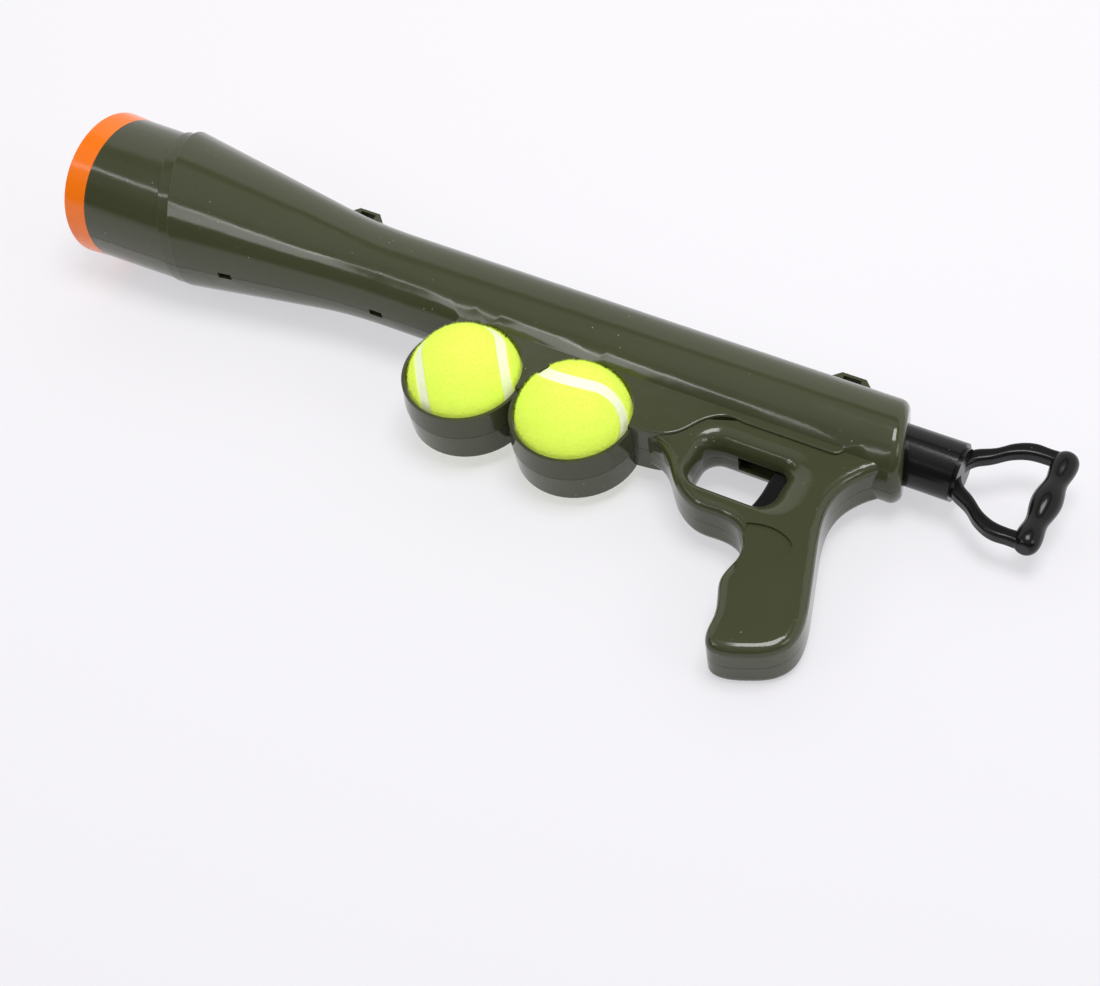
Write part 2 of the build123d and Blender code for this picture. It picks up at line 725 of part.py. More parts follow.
def elastic_loop(side):
    """One elastic loop round its post and the cross pin, on the left (1) or the right (-1)."""
    height = side * elastic_offset
    length = cross_pin_x - post_x
    runs = [
        Pos(post_x + length / 2, turn * elastic_turn, height) * Rot(0, 90, 0) * Cylinder(elastic_radius, length)
        for turn in (1, -1)
    ]
    bends = []
    for x, turn in ((post_x, 1), (cross_pin_x, -1)):
        section = Plane(origin=(x, turn * elastic_turn, height), z_dir=(1, 0, 0)) * Circle(elastic_radius)
        bends.append(revolve(section, axis=Axis((x, 0, height), (0, 0, 1)), revolution_arc=180))
    return runs[0] + runs[1] + bends[0] + bends[1]


def elastic_posts():
    """The two posts in the shells' walls that hold the loops' front ends."""
    start = elastic_offset - elastic_radius - elastic_to_pin_end
    end = bore_radius + post_sink
    return Compound([cylinder_z(post_x, 0, post_radius, start, end), cylinder_z(post_x, 0, post_radius, -end, -start)])


def trigger():
    """Trigger: blade, hub, sear arm and the lug that the return spring pushes."""
    def place(share):
        return (trigger_pin_x + share[0] * trigger_length, trigger_pin_y - share[1] * trigger_length)

    front = Spline(*[place(share) for share in trigger_front_shares])
    rear = Spline(*[place(share) for share in trigger_rear_shares])
    rim = front.edges() + Line(front @ 1, rear @ 0).edges() + rear.edges() + Line(rear @ 1, front @ 0).edges()
    blade = extrude(make_face(rim), trigger_width / 2, both=True)
    blade = fillet(blade.edges().filter_by(GeomType.BSPLINE), trigger_round)
    half = trigger_width / 2
    hub = cylinder_z(trigger_pin_x, trigger_pin_y, trigger_hub_radius, -half, half)
    arm_y = trigger_pin_y + sear_arm_depth / 2
    arm = block((sear_nose_x, trigger_pin_x), (arm_y - sear_arm_depth, arm_y), (-half, half))
    lug = block(
        (trigger_pin_x, trigger_pin_x + spring_lug), (spring_y - sear_arm_depth / 2, spring_y + sear_arm_depth / 2),
        (-half, half),
    )
    shape = blade + hub + arm + lug - sear_tongue_block()
    pin = trigger_pin_radius + slide_clearance / 2
    return shape - cylinder_z(trigger_pin_x, trigger_pin_y, pin, -trigger_width, trigger_width)


def sear_tongue_block():
    """The sear plate's tongue, which is also the pocket for it in the trigger's arm."""
    arm_y = trigger_pin_y + sear_arm_depth / 2
    side = (sear_thickness - sear_tongue) / 2
    width = sear_plate_width / 2
    return block((sear_nose_x + side, sear_nose_x + side + sear_tongue), (arm_y - sear_tongue, arm_y), (-width, width))


def sear_plate():
    """Steel plate on the trigger's arm that rides just under the tube and holds the catch."""
    arm_y = trigger_pin_y + sear_arm_depth / 2
    width = sear_plate_width / 2
    plate = block((sear_nose_x, sear_nose_x + sear_thickness), (arm_y, sear_top_y), (-width, width))
    front_top = plate.edges().filter_by(Axis.Z).group_by(Axis.Y)[-1].sort_by(Axis.X)[0]
    return chamfer(front_top, sear_tongue) + sear_tongue_block()


def trigger_spring():
    """Return spring behind the trigger."""
    run = spring_length - spring_wire
    path = Helix(pitch=run / spring_turns, height=run, radius=spring_radius)
    coil = sweep(Plane(origin=path @ 0, z_dir=path % 0) * Circle(spring_wire / 2), path=path)
    return Pos(spring_front_x + spring_wire / 2, spring_y, 0) * Rot(0, 90, 0) * coil


def ball_pieces():
    """Core and felt cover of one ball about the origin."""
    felt_inside = ball_radius - felt_thickness
    core_radius = felt_inside - seat_clearance
    return {
        "core": Sphere(core_radius) - Sphere(core_radius - core_wall),
        "felt": Sphere(ball_radius) - Sphere(felt_inside),
    }


pieces = {
    "left_shell": left_shell(),
    "right_shell": right_shell(),
    "shell_screws": shell_screws(),
    "muzzle_ring": muzzle_ring(),
    "ball_tube": ring_x(ball_tube_radius, ball_tube_bore, ball_tube_front_x, seat_front_x),
    "ball_seat": ball_seat(),
    "rear_bushing": ring_x(bushing_radius, pull_tube_radius + slide_clearance, bushing_front_x, bushing_rear_x),
    "elastic_posts": elastic_posts(),
    "left_elastic": elastic_loop(1),
    "right_elastic": elastic_loop(-1),
    "trigger_pin": cylinder_z(
        trigger_pin_x, trigger_pin_y, trigger_pin_radius, -trigger_pin_reach, trigger_pin_reach
    ),
    "trigger_spring": trigger_spring(),
    "pull_handle": pull_handle(),
    "handle_pin": fastening_pin(handle_pin_x()),
    "pull_tube": pull_tube(),
    "catch_block": catch_block(),
    "plunger_head": plunger_head(),
    "head_pin": fastening_pin(head_pin_x()),
    "head_bumper": head_bumper(),
    "band_cross_pin": cylinder_z(cross_pin_x, 0, cross_pin_radius, -pin_half_length, pin_half_length),
    "trigger": trigger(),
    "sear_plate": sear_plate(),
}
for place, x in cup_xs.items():
    for kind, shape in ball_pieces().items():
        pieces[f"{place}_ball_{kind}"] = Pos(x, cup_y, ball_lift) * shape

boxes = [shape.bounding_box() for shape in pieces.values()]
low = [min(getattr(box.min, axis) for box in boxes) for axis in "XYZ"]
high = [max(getattr(box.max, axis) for box in boxes) for axis in "XYZ"]
shift = Pos(-(low[0] + high[0]) / 2, -(low[1] + high[1]) / 2, -low[2])
print("moved by", shift.position, "overall", [top - bottom for bottom, top in zip(low, high)])
os.makedirs("parts", exist_ok=True)
for name, shape in pieces.items():
    solids = shape.solids()
    print(name, len(solids), round(sum(solid.volume for solid in solids)), all(solid.is_valid for solid in solids))
    export_step(shift * shape, f"parts/{name}.step")
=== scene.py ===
"""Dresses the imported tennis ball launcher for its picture: finishes, felt balls, floor, light and camera."""

import logging
import math
import random
from abc import ABC, abstractmethod
from dataclasses import dataclass, field
from enum import Enum

import bmesh
import bpy
from mathutils import Euler, Matrix, Vector, noise


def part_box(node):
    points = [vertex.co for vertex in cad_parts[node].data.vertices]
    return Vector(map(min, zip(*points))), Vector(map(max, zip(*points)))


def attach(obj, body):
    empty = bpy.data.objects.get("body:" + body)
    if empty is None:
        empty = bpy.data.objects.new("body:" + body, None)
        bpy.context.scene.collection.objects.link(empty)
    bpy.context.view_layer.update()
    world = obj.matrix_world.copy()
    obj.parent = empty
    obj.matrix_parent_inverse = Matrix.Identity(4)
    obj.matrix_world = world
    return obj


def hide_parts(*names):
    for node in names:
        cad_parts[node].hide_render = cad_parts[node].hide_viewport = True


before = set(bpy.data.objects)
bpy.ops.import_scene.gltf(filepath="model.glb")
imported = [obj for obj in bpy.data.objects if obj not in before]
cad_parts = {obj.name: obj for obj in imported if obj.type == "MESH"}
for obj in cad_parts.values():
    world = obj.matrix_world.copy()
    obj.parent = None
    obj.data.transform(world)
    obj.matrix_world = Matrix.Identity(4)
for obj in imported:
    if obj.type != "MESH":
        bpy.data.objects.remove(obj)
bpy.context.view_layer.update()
LOG = logging.getLogger("launcher")

Colour = tuple[float, float, float]
Point = tuple[float, float, float]
Span = tuple[float, float]
Socket = bpy.types.NodeSocket

UNIT: Span = (0.0, 1.0)
NOISE_SPAN: Span = (0.3, 0.7)
UP = Vector((0, 0, 1))

# Sockets of a Mix node that mixes colours
MIX_SHARE = 0
MIX_FIRST = 6
MIX_SECOND = 7
MIX_RESULT = 2


class Body(Enum):
    """The CAD bodies that new pieces ride on."""

    FRONT_BALL = "front_ball"
    REAR_BALL = "rear_ball"


@dataclass(frozen=True)
class Grain:
    """A noise: features to a metre, octaves, and what each axis's position is multiplied by."""

    scale: float
    detail: float = 2.0
    squeeze: Point = (1.0, 1.0, 1.0)


@dataclass(frozen=True)
class Relief:
    """A bump: its strength, and how high a value of one stands, in metres."""

    strength: float
    height: float


class NodeBench:
    """A node tree, with short ways to add and join nodes."""

    def __init__(self, tree: bpy.types.NodeTree) -> None:
        """Starts work on a tree.

        Args:
            tree: The tree that takes the nodes.
        """
        self.tree = tree

    def add(self, kind: str) -> bpy.types.Node:
        """Adds a node.

        Args:
            kind: The node's type name without the ShaderNode prefix.

        Returns:
            The new node.
        """
        return self.tree.nodes.new("ShaderNode" + kind)

    def join(self, source: Socket, target: Socket) -> None:
        """Links two sockets."""
        self.tree.links.new(source, target)

    def ramp(self, value: Socket, source: Span, target: Span = UNIT, smooth: bool = False) -> Socket:
        """Maps a value from one range to another, held at both ends.

        Args:
            value: The value to map.
            source: The values that give the two ends of the result.
            target: The results at those ends.
            smooth: Whether the result eases into both ends.

        Returns:
            The mapped value.
        """
        node = self.add("MapRange")
        node.clamp = True
        node.interpolation_type = "SMOOTHSTEP" if smooth else "LINEAR"
        for name, number in zip(("From Min", "From Max", "To Min", "To Max"), (*source, *target)):
            node.inputs[name].default_value = number
        self.join(value, node.inputs["Value"])
        return node.outputs["Result"]

    def blend(self, share: Socket, first: Colour | Socket, second: Colour | Socket) -> Socket:
        """Mixes two colours.

        Args:
            share: How much of the second colour there is.
            first: A colour, or a socket that gives one.
            second: A colour, or a socket that gives one.

        Returns:
            The mixed colour.
        """
        node = self.add("Mix")
        node.data_type = "RGBA"
        self.join(share, node.inputs[MIX_SHARE])
        for slot, colour in ((MIX_FIRST, first), (MIX_SECOND, second)):
            if isinstance(colour, Socket):
                self.join(colour, node.inputs[slot])
            else:
                node.inputs[slot].default_value = (*colour, 1.0)
        return node.outputs[MIX_RESULT]

    def compute(self, operation: str, *terms: float | Socket) -> Socket:
        """Makes one number from others.

        Args:
            operation: The Math node's operation.
            terms: Its numbers, or sockets that give them, in order.

        Returns:
            The result.
        """
        node = self.add("Math")
        node.operation = operation
        for slot, term in zip(node.inputs, terms):
            if isinstance(term, Socket):
                self.join(term, slot)
            else:
                slot.default_value = term
        return node.outputs["Value"]

    def mix(self, share: Socket, first: Socket, second: Socket) -> Socket:
        """Mixes two shaders.

        Args:
            share: How much of the second shader there is.
            first: A shader.
            second: A shader.

        Returns:
            The mixed shader.
        """
        node = self.add("MixShader")
        for slot, source in zip(node.inputs, (share, first, second)):
            self.join(source, slot)
        return node.outputs["Shader"]


class MaterialBench(NodeBench):
    """A new material's node tree and its Principled shader."""

    def __init__(self, name: str) -> None:
        """Starts a material.

        Args:
            name: The material's name.
        """
        self.material = bpy.data.materials.new(name)
        self.material.use_nodes = True
        super().__init__(self.material.node_tree)
        self.shader = self.tree.nodes["Principled BSDF"]

    def place(self) -> Socket:
        """Gives the object-space position."""
        return self.add("TexCoord").outputs["Object"]

    def grain(self, grain: Grain) -> Socket:
        """Makes noise in object space.

        Args:
            grain: The noise's scale, octaves and squeeze.

        Returns:
            The noise value.
        """
        mapping = self.add("Mapping")
        mapping.inputs["Scale"].default_value = grain.squeeze
        self.join(self.place(), mapping.inputs["Vector"])
        made = self.add("TexNoise")
        made.inputs["Scale"].default_value = grain.scale
        made.inputs["Detail"].default_value = grain.detail
        self.join(mapping.outputs["Vector"], made.inputs["Vector"])
        return made.outputs["Fac"]

    def bump(self, height: Socket, relief: Relief) -> None:
        """Raises the surface by a value.

        Args:
            height: The height value.
            relief: How strong and how high the bump is.
        """
        node = self.add("Bump")
        node.inputs["Strength"].default_value = relief.strength
        node.inputs["Distance"].default_value = relief.height
        self.join(height, node.inputs["Height"])
        self.join(node.outputs["Normal"], self.shader.inputs["Normal"])

    def colour(self, source: Socket) -> None:
        """Feeds the shader's base colour."""
        self.join(source, self.shader.inputs["Base Color"])

    def rough(self, source: Socket) -> None:
        """Feeds the shader's roughness."""
        self.join(source, self.shader.inputs["Roughness"])

    def fix(self, name: str, value: float | Colour) -> None:
        """Sets one of the shader's inputs to a constant number or colour."""
        self.shader.inputs[name].default_value = (*value, 1.0) if isinstance(value, tuple) else value


@dataclass(frozen=True)
class Recipe(ABC):
    """A material's name and main colour, and how it is made."""

    name: str
    base: Colour

    @abstractmethod
    def make(self) -> bpy.types.Material:
        """Builds the material.

        Returns:
            The new material.
        """


@dataclass(frozen=True)
class MouldedPlastic(Recipe):
    """Injection-moulded plastic with a slightly uneven gloss, and settled dust where it is wanted.

    The gloss spans the roughness from its shiniest to its dullest. The bump is a slow wave with a share of
    finer orange peel.
    """

    deep: Colour
    gloss: Span
    specular: float = 0.5
    dust: float = 0.0
    dust_tone: Colour = (0.62, 0.62, 0.58)
    speck_scale: float = 210.0
    speck_edge: Span = (0.04, 0.07)
    patch_grain: Grain = Grain(55.0)
    patch_edge: Span = (0.50, 0.60)
    tone_grain: Grain = Grain(9.0)
    tone_edge: Span = (0.35, 0.65)
    gloss_grain: Grain = Grain(38.0, 4.0)
    wave_grain: Grain = Grain(75.0, 1.0)
    peel_grain: Grain = Grain(420.0)
    peel: float = 0.12
    ripple: Relief = Relief(0.14, 0.0006)

    def make(self) -> bpy.types.Material:
        """Builds the material.

        Returns:
            The new material.
        """
        bench = MaterialBench(self.name)
        tone = bench.blend(bench.ramp(bench.grain(self.tone_grain), self.tone_edge), self.base, self.deep)
        if self.dust > 0.0:
            tone = bench.blend(self.dust_share(bench), tone, self.dust_tone)
        bench.colour(tone)
        bench.rough(bench.ramp(bench.grain(self.gloss_grain), NOISE_SPAN, self.gloss))
        bench.fix("Specular IOR Level", self.specular)
        wave = bench.grain(self.wave_grain)
        bench.bump(bench.compute("MULTIPLY_ADD", bench.grain(self.peel_grain), self.peel, wave), self.ripple)
        return bench.material

    def dust_share(self, bench: MaterialBench) -> Socket:
        """Scatters specks of dust in patches.

        Args:
            bench: The material's nodes.

        Returns:
            How much dust covers a point.
        """
        cells = bench.add("TexVoronoi")
        cells.inputs["Scale"].default_value = self.speck_scale
        bench.join(bench.place(), cells.inputs["Vector"])
        speck = bench.ramp(cells.outputs["Distance"], self.speck_edge, (self.dust, 0.0))
        return bench.compute("MULTIPLY", speck, bench.ramp(bench.grain(self.patch_grain), self.patch_edge))


@dataclass(frozen=True)
class PlatedSteel(Recipe):
    """Zinc-plated steel with fine draw lines."""

    line_shade: float = 0.8
    line_grain: Grain = Grain(900.0, 3.0, (1.0, 1.0, 0.08))
    gloss: Span = (0.24, 0.4)
    lines: Relief = Relief(0.05, 0.0002)

    def make(self) -> bpy.types.Material:
        """Builds the material.

        Returns:
            The new material.
        """
        bench = MaterialBench(self.name)
        drawn = bench.grain(self.line_grain)
        shaded = tuple(self.line_shade * channel for channel in self.base)
        bench.colour(bench.blend(bench.ramp(drawn, NOISE_SPAN), self.base, shaded))
        bench.rough(bench.ramp(drawn, NOISE_SPAN, self.gloss))
        bench.fix("Metallic", 1.0)
        bench.bump(drawn, self.lines)
        return bench.material


@dataclass(frozen=True)
class Rubber(Recipe):
    """Soft rubber with a dull bloom."""

    bloom: Colour
    bloom_grain: Grain = Grain(60.0, 4.0)
    bloom_edge: Span = (0.4, 0.7)
    bloom_share: Span = (0.0, 0.5)
    gloss: Span = (0.55, 0.75)
    skin_grain: Grain = Grain(1200.0)
    skin: Relief = Relief(0.12, 0.0003)

    def make(self) -> bpy.types.Material:
        """Builds the material.

        Returns:
            The new material.
        """
        bench = MaterialBench(self.name)
        cloud = bench.grain(self.bloom_grain)
        bloomed = bench.ramp(cloud, self.bloom_edge, self.bloom_share)
        bench.colour(bench.blend(bloomed, self.base, self.bloom))
        bench.rough(bench.ramp(cloud, NOISE_SPAN, self.gloss))
        bench.bump(bench.grain(self.skin_grain), self.skin)
        return bench.material


@dataclass(frozen=True)
class Felt(Recipe):
    """Tennis ball felt, with the pale seam where the mesh marks it, painted hollow shade and a painted glow.
    """

    # Painted shade: the darker felt colour laid into the hollows of the tuft bump.
    painted_hollow_shade: Colour
    seam: Colour
    # Painted glow: light the felt gives off itself, which brightens it and flattens its shading.
    glow: float
    tuft_grain: Grain = Grain(620.0, 6.0)
    # Tuft noise values over which the felt turns from its base colour to the painted hollow shade.
    painted_shade_edge: Span = (0.62, 0.38)
    seam_edge: Span = (0.35, 0.65)
    roughness: float = 0.95
    specular: float = 0.15
    sheen: float = 0.35
    sheen_roughness: float = 0.5
    tufts: Relief = Relief(0.4, 0.0008)

    def make(self) -> bpy.types.Material:
        """Builds the material.

        Returns:
            The new material.
        """
        bench = MaterialBench(self.name)
        tufts = bench.grain(self.tuft_grain)
        # Painted shade: the felt darkens where the tuft noise, which is also the bump's height, is low.
        cloth_with_painted_shade = bench.blend(bench.ramp(tufts, self.painted_shade_edge), self.base, self.painted_hollow_shade)
        marked = bench.add("Attribute")
        marked.attribute_name = "seam"
        bench.colour(bench.blend(bench.ramp(marked.outputs["Fac"], self.seam_edge), cloth_with_painted_shade, self.seam))
        bench.fix("Roughness", self.roughness)
        bench.fix("Specular IOR Level", self.specular)
        bench.fix("Sheen Weight", self.sheen)
        bench.fix("Sheen Roughness", self.sheen_roughness)
        bench.fix("Sheen Tint", self.base)
        # Painted glow: the felt emits its base colour as light of its own.
        bench.fix("Emission Color", self.base)
        bench.fix("Emission Strength", self.glow)
        bench.bump(tufts, self.tufts)
        return bench.material


@dataclass(frozen=True)
class PaleFloor(Recipe):
    """Pale paper floor with painted light to the far side; it keeps soft shadows and lets a view from below
    pass.
    """

    # Painted light: the floor's colour at its far side, lighter than the base.
    far: Colour
    lift: float
    # The direction, and the span along it, over which the painted light brightens the floor.
    painted_light_way: Point = (-0.41, 0.91, 0.0)
    painted_light_span: Span = (-0.45, 0.55)

    def make(self) -> bpy.types.Material:
        """Builds the material.

        Returns:
            The new material.
        """
        bench = MaterialBench(self.name)
        along = bench.add("VectorMath")
        along.operation = "DOT_PRODUCT"
        along.inputs[1].default_value = self.painted_light_way
        bench.join(bench.place(), along.inputs[0])
        # Painted light: the paper grows lighter towards the far side of the floor.
        paper = bench.blend(bench.ramp(along.outputs["Value"], self.painted_light_span), self.base, self.far)
        matte = bench.add("BsdfDiffuse")
        bench.join(paper, matte.inputs["Color"])
        glow = bench.add("Emission")
        bench.join(paper, glow.inputs["Color"])
        rays = bench.add("LightPath")
        seen = bench.compute("MAXIMUM", rays.outputs["Is Camera Ray"], rays.outputs["Is Glossy Ray"])
        passed = bench.compute("MAXIMUM", seen, rays.outputs["Is Transmission Ray"])
        share = bench.compute("MULTIPLY", passed, self.lift)
        lifted = bench.mix(share, matte.outputs["BSDF"], glow.outputs["Emission"])
        below = bench.add("NewGeometry").outputs["Backfacing"]
        shown = bench.mix(below, lifted, bench.add("BsdfTransparent").outputs["BSDF"])
        bench.join(shown, bench.tree.nodes["Material Output"].inputs["Surface"])
        bench.tree.nodes.remove(bench.shader)
        return bench.material


OLIVE = MouldedPlastic("olive_gloss", (0.054, 0.060, 0.027), (0.050, 0.055, 0.024), (0.09, 0.15), 0.5, 0.8)
ORANGE = MouldedPlastic("orange_gloss", (1.0, 0.205, 0.006), (0.98, 0.195, 0.005), (0.12, 0.20), 0.45)
BLACK = MouldedPlastic("black_gloss", (0.008, 0.007, 0.008), (0.006, 0.006, 0.006), (0.14, 0.22), 0.3, 0.25)
DULL_BLACK = MouldedPlastic("black_dull", (0.022, 0.022, 0.024), (0.018, 0.018, 0.020), (0.42, 0.55), 0.4)
LINER = MouldedPlastic("natural_liner", (0.55, 0.55, 0.51), (0.50, 0.50, 0.46), (0.35, 0.45), 0.4)
STEEL = PlatedSteel("zinc_steel", (0.60, 0.60, 0.62))
SEAT_RUBBER = Rubber("seat_rubber", (0.020, 0.020, 0.020), (0.05, 0.05, 0.05))
LATEX = Rubber("latex", (0.50, 0.36, 0.17), (0.60, 0.48, 0.28))
CORE_RUBBER = Rubber("core_rubber", (0.20, 0.19, 0.17), (0.26, 0.25, 0.23))
# Felt: base colour, painted hollow shade, seam colour, and the strength of its painted glow.
FELT = Felt("ball_felt", (0.79, 0.97, 0.13), (0.73, 0.92, 0.10), (0.86, 0.88, 0.72), 0.16)
# The floor's second colour is painted light on its far side.
FLOOR = PaleFloor("pale_floor", (0.845, 0.835, 0.870), (0.985, 0.970, 0.995), 0.6)


@dataclass(frozen=True)
class Dressing:
    """One finish, and the CAD nodes that wear it in their own shape."""

    recipe: Recipe
    nodes: tuple[str, ...]

    def apply(self) -> None:
        """Gives the nodes their finish."""
        material = self.recipe.make()
        for node in self.nodes:
            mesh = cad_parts[node].data
            mesh.materials.clear()
            mesh.materials.append(material)
            LOG.info("%s: %s", node, material.name)


DRESSINGS = (
    Dressing(OLIVE, ("left_shell", "right_shell")),
    Dressing(ORANGE, ("muzzle_ring",)),
    Dressing(BLACK, ("pull_handle", "pull_tube", "trigger")),
    Dressing(DULL_BLACK, ("plunger_head",)),
    Dressing(LINER, ("ball_tube", "rear_bushing")),
    Dressing(STEEL, (
        "shell_screws", "elastic_posts", "trigger_pin", "trigger_spring", "handle_pin", "catch_block",
        "head_pin", "band_cross_pin", "sear_plate",
    )),
    Dressing(SEAT_RUBBER, ("ball_seat", "head_bumper")),
    Dressing(LATEX, ("left_elastic", "right_elastic")),
    Dressing(CORE_RUBBER, ("front_ball_core", "rear_ball_core")),
)


def random_way(chance: random.Random) -> Vector:
    """Draws a vector whose direction is spread evenly.

    Args:
        chance: The seeded numbers to draw from.

    Returns:
        The vector, of no fixed length.
    """
    return Vector((chance.gauss(0, 1), chance.gauss(0, 1), chance.gauss(0, 1)))


def link_piece(name: str, mesh: bpy.types.Mesh) -> bpy.types.Object:
    """Adds a mesh to the scene.

    Args:
        name: The object's name.
        mesh: Its mesh.

    Returns:
        The new object.
    """
    piece = bpy.data.objects.new(name, mesh)
    bpy.context.scene.collection.objects.link(piece)
    return piece


@dataclass
class TennisBall:
    """One felt ball: a napped skin with its seam, and loose fibres where the cup doesn't cover it.

    Lengths are in metres and the turn is in degrees. The roll is the felt's raised edge beside the seam, a
    ruffle pairs a noise scale with its height, and cup_low and cup_high bound the height that the cup hides,
    measured from the ball's middle.
    """

    side: str
    body: Body
    turn: Point
    seed: int
    felt: bpy.types.Material
    skin: float = 0.0315
    skin_subdivisions: int = 7
    seam_half: float = 0.0035
    seam_edge: float = 0.0016
    seam_depth: float = 0.0005
    roll_gap: float = 0.0014
    roll_width: float = 0.0011
    roll_height: float = 0.00015
    ruffles: tuple[Span, ...] = ((38.0, 0.00012), (95.0, 0.00008))
    fibres: int = 9000
    tuft: int = 100
    fibre_sides: int = 3
    fibre_radius: float = 0.00006
    fibre_length: Span = (0.0007, 0.0024)
    fibre_rise: float = 0.55
    fibre_lean: Span = (0.2, 1.1)
    fibre_root: float = 0.0001
    seam_margin: float = 0.0002
    cup_low: float = -0.0215
    cup_high: float = 0.0090
    centre: Vector = field(init=False)
    spin: Matrix = field(init=False)

    def __post_init__(self) -> None:
        """Finds the ball's middle, and how the ball is turned in its cup."""
        low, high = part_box(f"{self.side}_ball_felt")
        self.centre = (low + high) / 2
        self.spin = Euler([math.radians(angle) for angle in self.turn], "ZYX").to_matrix()

    def seam_distance(self, way: Vector) -> float:
        """Measures along the ball from a point to the middle of the seam.

        Args:
            way: The point's direction from the ball's middle, before the ball is turned.

        Returns:
            The distance in metres.
        """
        tilt = 1.0 if way.z >= 0.0 else -1.0
        near = abs(way.x + tilt * way.y) * math.sqrt(0.5)
        return abs(math.acos(min(1.0, near)) - math.pi / 4) * self.skin

    def lift(self, way: Vector) -> tuple[float, float]:
        """Gives how far the skin stands from the middle, and how much of the point is seam.

        Args:
            way: The point's direction before the ball is turned.

        Returns:
            The radius in metres and the share of seam.
        """
        gap = self.seam_distance(way)
        share = min(1.0, max(0.0, (self.seam_half + self.seam_edge / 2 - gap) / self.seam_edge))
        roll = math.exp(-(((gap - self.seam_half - self.roll_gap) / self.roll_width) ** 2))
        nap = sum(noise.noise(way * scale) * height for scale, height in self.ruffles)
        rise = (self.roll_height * roll + nap) * (1.0 - share)
        return self.skin - self.seam_depth * share + rise, share

    def skin_piece(self) -> bpy.types.Object:
        """Builds the skin with its seam.

        Returns:
            The piece, which replaces the CAD felt.
        """
        name = f"{self.side}_ball_skin"
        mesh = bpy.data.meshes.new(name)
        shape = bmesh.new()
        bmesh.ops.create_icosphere(shape, subdivisions=self.skin_subdivisions, radius=1.0)
        marks = shape.verts.layers.float.new("seam")
        for vert in shape.verts:
            way = vert.co.normalized()
            radius, share = self.lift(way)
            vert[marks] = share
            vert.co = self.centre + self.spin @ (way * radius)
        for face in shape.faces:
            face.smooth = True
        shape.to_mesh(mesh)
        shape.free()
        return link_piece(name, mesh)

    def nap_piece(self) -> bpy.types.Object:
        """Builds the loose fibres on the open ends of the ball, a tuft at a time.

        Returns:
            The piece.
        """
        name = f"{self.side}_ball_nap"
        chance = random.Random(self.seed)
        mesh = bpy.data.meshes.new(name)
        shape = bmesh.new()
        fibre_points = self.fibre_sides + 1
        for _ in range(self.fibres // self.tuft):
            tuft = bmesh.new()
            while len(tuft.verts) < fibre_points * self.tuft:
                self.fibre(tuft, chance)
            tuft.to_mesh(mesh)
            tuft.free()
            shape.from_mesh(mesh)
        shape.to_mesh(mesh)
        shape.free()
        return link_piece(name, mesh)

    def fibre(self, tuft: bmesh.types.BMesh, chance: random.Random) -> None:
        """Sets one fibre at a random place on the felt, or none where the cup or the seam is.

        Args:
            tuft: The mesh that takes the fibre.
            chance: The ball's seeded numbers.
        """
        way = random_way(chance).normalized()
        out = self.spin @ way
        hidden = self.cup_low < out.z * self.skin < self.cup_high
        if hidden or self.seam_distance(way) < self.seam_half + self.seam_margin:
            return
        lean = random_way(chance)
        aside = (lean - out * lean.dot(out)).normalized()
        along = (out * self.fibre_rise + aside * chance.uniform(*self.fibre_lean)).normalized()
        length = chance.uniform(*self.fibre_length)
        root = self.skin - self.fibre_root
        place = Matrix.Translation(self.centre + out * root + along * length / 2)
        stand = UP.rotation_difference(along).to_matrix().to_4x4()
        bmesh.ops.create_cone(
            tuft, segments=self.fibre_sides, cap_ends=False, radius1=self.fibre_radius, radius2=0.0,
            depth=length, matrix=place @ stand,
        )

    def build(self) -> None:
        """Builds, dresses and seats the ball's pieces."""
        skin, nap = self.skin_piece(), self.nap_piece()
        for piece in (skin, nap):
            piece.data.materials.append(self.felt)
            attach(piece, self.body.value)
            LOG.info("%s: %d faces", piece.name, len(piece.data.polygons))
        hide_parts(f"{self.side}_ball_felt")


@dataclass(frozen=True)
class Lamp:
    """One soft lamp: where it hangs, the point that it faces, its width and height, and its watts."""

    name: str
    place: Point
    aim: Point
    size: Span
    power: float

    def hang(self) -> None:
        """Adds the lamp to the scene."""
        data = bpy.data.lights.new(self.name, "AREA")
        data.shape = "RECTANGLE"
        data.size, data.size_y = self.size
        data.energy = self.power
        place = Vector(self.place)
        turn = (Vector(self.aim) - place).to_track_quat("-Z", "Y").to_matrix().to_4x4()
        lamp = bpy.data.objects.new(self.name, data)
        lamp.matrix_world = Matrix.Translation(place) @ turn
        bpy.context.scene.collection.objects.link(lamp)


LAMPS = (
    Lamp("key", (0.32, 0.12, 1.8), (0.0, 0.0, 0.0), (0.8, 0.8), 18.5),
    Lamp("strip", (-0.68, -0.68, 1.04), (-0.15, 0.05, 0.05), (1.3, 0.05), 1.2),
    Lamp("softbox", (-0.62, -1.04, 1.04), (-0.2, 0.05, 0.05), (0.32, 0.42), 1.3),
    Lamp("side", (1.5, -0.1, 0.95), (0.2, 0.0, 0.05), (0.55, 0.5), 2.4),
)


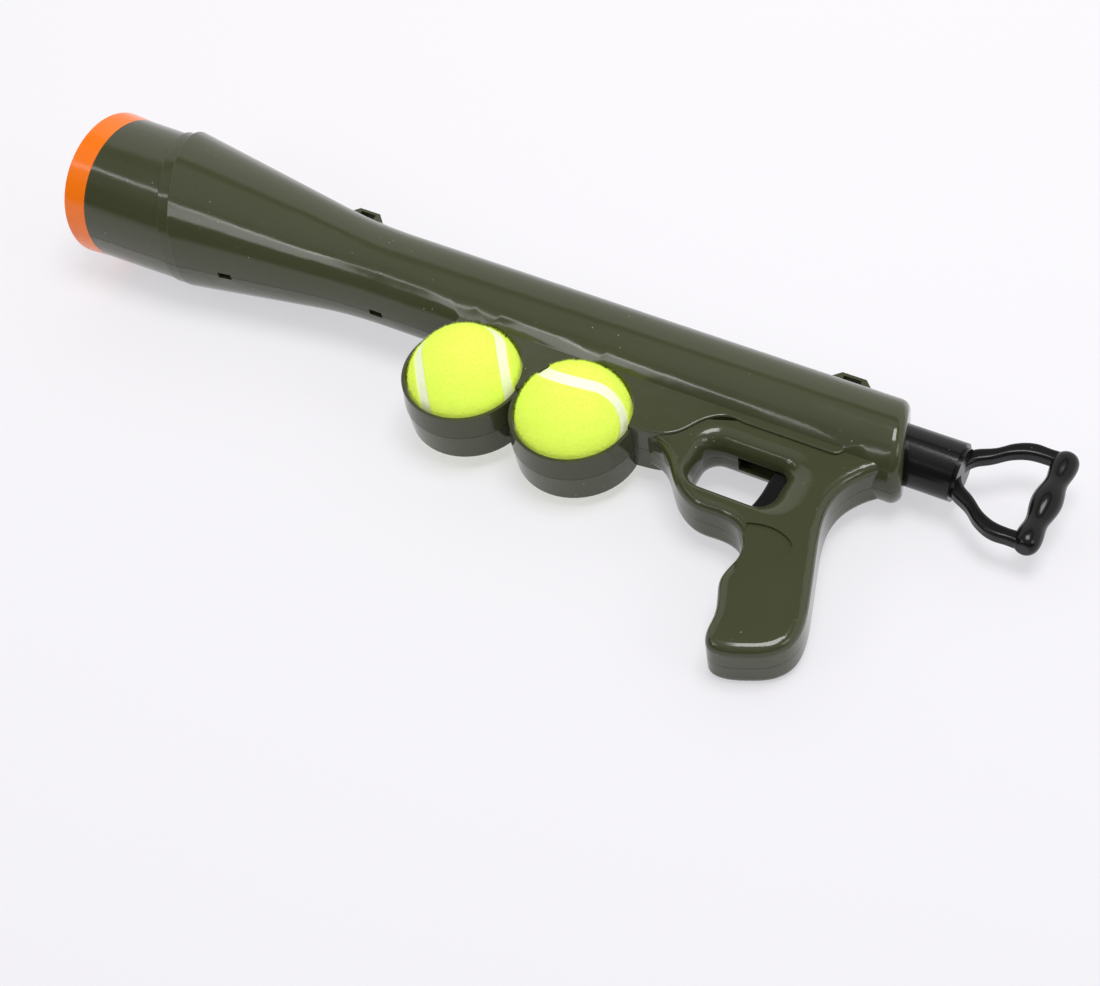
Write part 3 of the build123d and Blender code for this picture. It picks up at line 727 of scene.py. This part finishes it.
@dataclass
class Studio:
    """Floor, lamps, sky and camera.

    The camera's angles are in radians and lengths are in metres, but for the sensor's millimetres. The floor
    rises by floor_tilt along X and Y through floor_point. Each side of the sky pairs elevations in degrees
    with brightness, and the two sides meet over sky_turn.
    """

    eye: Vector = field(default_factory=lambda: Vector((0.435185, -0.497820, 0.802908)))
    azimuth: float = 0.684107614
    elevation: float = 0.912561923
    roll: float = -0.208671710
    focal_pixels: float = 1880.976
    image_width: float = 1100.0
    sensor: float = 36.0
    clip: Span = (0.01, 50.0)
    floor_tilt: Span = (0.0406, -0.0844)
    floor_point: Vector = field(default_factory=lambda: Vector((-0.2327, 0.0513, -0.0001)))
    floor_size: float = 24.0
    sky_low: float = -0.2
    sky_turn: float = 0.15
    sky_green: float = 0.99
    far_side: tuple[Span, ...] = (
        (-10, 0.75), (47.5, 0.80), (50.5, 0.14), (57, 0.14), (60, 0.55), (90, 0.60),
    )
    near_side: tuple[Span, ...] = (
        (-10, 0.60), (3, 0.55), (7, 0.08), (30, 0.08), (36, 0.28), (56, 0.36), (60, 0.55), (90, 0.60),
    )

    def camera(self) -> None:
        """Places the camera as the photograph was taken."""
        cos_a, sin_a = math.cos(self.azimuth), math.sin(self.azimuth)
        cos_e, sin_e = math.cos(self.elevation), math.sin(self.elevation)
        right = Vector((cos_a, sin_a, 0.0))
        back = Vector((sin_a * cos_e, -cos_a * cos_e, sin_e))
        up = back.cross(right)
        across = right * math.cos(self.roll) + up * math.sin(self.roll)
        upward = up * math.cos(self.roll) - right * math.sin(self.roll)
        data = bpy.data.cameras.new("camera")
        data.sensor_fit = "HORIZONTAL"
        data.sensor_width = self.sensor
        data.lens = self.focal_pixels / self.image_width * self.sensor
        data.clip_start, data.clip_end = self.clip
        camera = bpy.data.objects.new("camera", data)
        turn = Matrix((across, upward, back)).transposed().to_4x4()
        camera.matrix_world = Matrix.Translation(self.eye) @ turn
        bpy.context.scene.collection.objects.link(camera)
        bpy.context.scene.camera = camera

    def floor(self) -> None:
        """Lays the floor where the launcher comes to rest on its side."""
        shape = bmesh.new()
        bmesh.ops.create_grid(shape, x_segments=2, y_segments=2, size=self.floor_size / 2)
        slope_x, slope_y = self.floor_tilt
        for vert in shape.verts:
            rise = slope_x * vert.co.x + slope_y * vert.co.y
            vert.co = vert.co + self.floor_point + UP * rise
        mesh = bpy.data.meshes.new("floor")
        shape.to_mesh(mesh)
        shape.free()
        floor = link_piece("floor", mesh)
        floor.data.materials.append(FLOOR.make())

    def sky(self) -> None:
        """Lights the room: a pale wall behind, a soft ceiling, and a dim side where the camera stands."""
        world = bpy.data.worlds.new("studio")
        world.use_nodes = True
        bench = NodeBench(world.node_tree)
        split = bench.add("SeparateXYZ")
        bench.join(bench.add("TexCoord").outputs["Generated"], split.inputs["Vector"])
        height = bench.ramp(split.outputs["Z"], (self.sky_low, 1.0))
        side = bench.ramp(split.outputs["Y"], (-self.sky_turn, self.sky_turn), smooth=True)
        near = self.sky_bands(bench, height, self.near_side)
        far = self.sky_bands(bench, height, self.far_side)
        bench.join(bench.blend(side, near, far), bench.tree.nodes["Background"].inputs["Color"])
        bpy.context.scene.world = world

    def sky_bands(self, bench: NodeBench, height: Socket, levels: tuple[Span, ...]) -> Socket:
        """Makes the sky's brightness by height on one side.

        Args:
            bench: The world's nodes.
            height: The share of the sky's height.
            levels: Pairs of an elevation in degrees and a brightness, from the lowest up.

        Returns:
            The colour.
        """
        ramp = bench.add("ValToRGB")
        stops = ramp.color_ramp.elements
        stops.remove(stops[1])
        for number, (degrees, level) in enumerate(levels):
            share = (math.sin(math.radians(degrees)) - self.sky_low) / (1.0 - self.sky_low)
            stop = stops[0] if number == 0 else stops.new(share)
            stop.position = share
            stop.color = (level, self.sky_green * level, level, 1.0)
        bench.join(height, ramp.inputs["Fac"])
        return ramp.outputs["Color"]

    def build(self) -> None:
        """Sets up the whole studio."""
        bpy.context.scene.view_settings.view_transform = "Standard"
        self.camera()
        self.floor()
        self.sky()
        for lamp in LAMPS:
            lamp.hang()


def main() -> None:
    """Builds the studio, the finishes and the balls in order."""
    logging.basicConfig(level=logging.INFO)
    Studio().build()
    for dressing in DRESSINGS:
        dressing.apply()
    felt = FELT.make()
    TennisBall("front", Body.FRONT_BALL, turn=(-101.3, -35.6, 38.4), seed=11, felt=felt).build()
    TennisBall("rear", Body.REAR_BALL, turn=(-133.3, 55.6, -51.3), seed=23, felt=felt).build()


if __name__ == "__main__":
    main()
